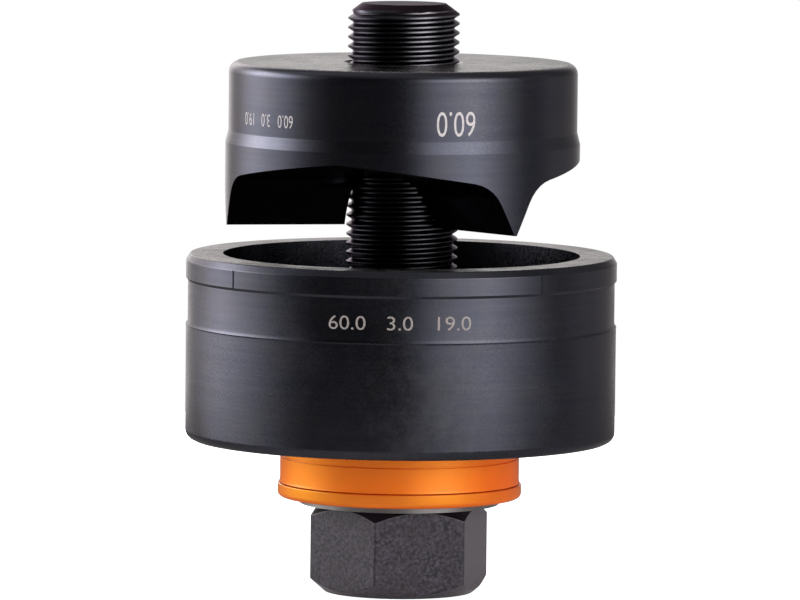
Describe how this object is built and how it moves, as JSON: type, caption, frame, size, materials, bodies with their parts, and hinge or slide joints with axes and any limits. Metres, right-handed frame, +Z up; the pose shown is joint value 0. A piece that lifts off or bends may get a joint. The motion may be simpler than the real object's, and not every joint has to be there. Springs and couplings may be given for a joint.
{
  "type": "sheet metal hole punch",
  "caption": "Screw-drawn sheet metal hole punch: a three-tipped round punch, a cup die, a hex-headed draw bolt and a thrust bearing under the die.",
  "frame": {"origin": "centre of the wrench face under the hex head, which the tool stands on", "axes": "+Z up the draw bolt's axis, from the hex head to the punch; -Y is the side that faces the picture's camera, +X to its right"},
  "size_m": [0.073, 0.073, 0.0998],
  "materials": {
    "black_oxide_punch": "satin",
    "black_oxide_die": "satin",
    "phosphated_steel": "matte",
    "orange_anodised": "satin",
    "orange_anodised_ring": "satin",
    "bearing_steel": "satin",
    "roller_steel": "polished",
    "cage_plastic": "matte"
  },
  "bodies": {
    "bearing": {"bearing_housing": "orange_anodised", "retaining_ring": "orange_anodised_ring", "upper_race": "bearing_steel"},
    "die": {"die": "black_oxide_die"},
    "bolt": {"draw_bolt": "phosphated_steel", "lower_race": "bearing_steel"},
    "punch": {"punch": "black_oxide_punch"},
    "roller_set": {"roller_cage": "cage_plastic", "roller_01": "roller_steel", "roller_02": "roller_steel", "roller_03": "roller_steel", "roller_04": "roller_steel", "roller_05": "roller_steel", "roller_06": "roller_steel", "roller_07": "roller_steel", "roller_08": "roller_steel", "roller_09": "roller_steel", "roller_10": "roller_steel", "roller_11": "roller_steel", "roller_12": "roller_steel"}
  },
  "joints": [
    {"name": "die_lift", "type": "slide", "parent": "bearing", "child": "die", "axis": [0, 0, 1], "range_m": [0, 0.0048]},
    {"name": "bolt_turn", "type": "hinge", "parent": "bearing", "child": "bolt", "pos_m": [0, 0, 0.02], "axis": [0, 0, 1], "range_deg": [-8640, 5040]},
    {"name": "punch_travel", "type": "slide", "parent": "bearing", "child": "punch", "axis": [0, 0, -1], "range_m": [-0.03811, 0.02223]},
    {"name": "cage_turn", "type": "hinge", "parent": "bearing", "child": "roller_set", "pos_m": [0, 0, 0.02], "axis": [0, 0, 1], "range_deg": [-4320, 2520]}
  ],
  "couplings": [
    {"joint": "punch_travel", "follows": "bolt_turn", "m_per_rad": 0.00025266},
    {"joint": "cage_turn", "follows": "bolt_turn", "ratio": 0.5}
  ]
}
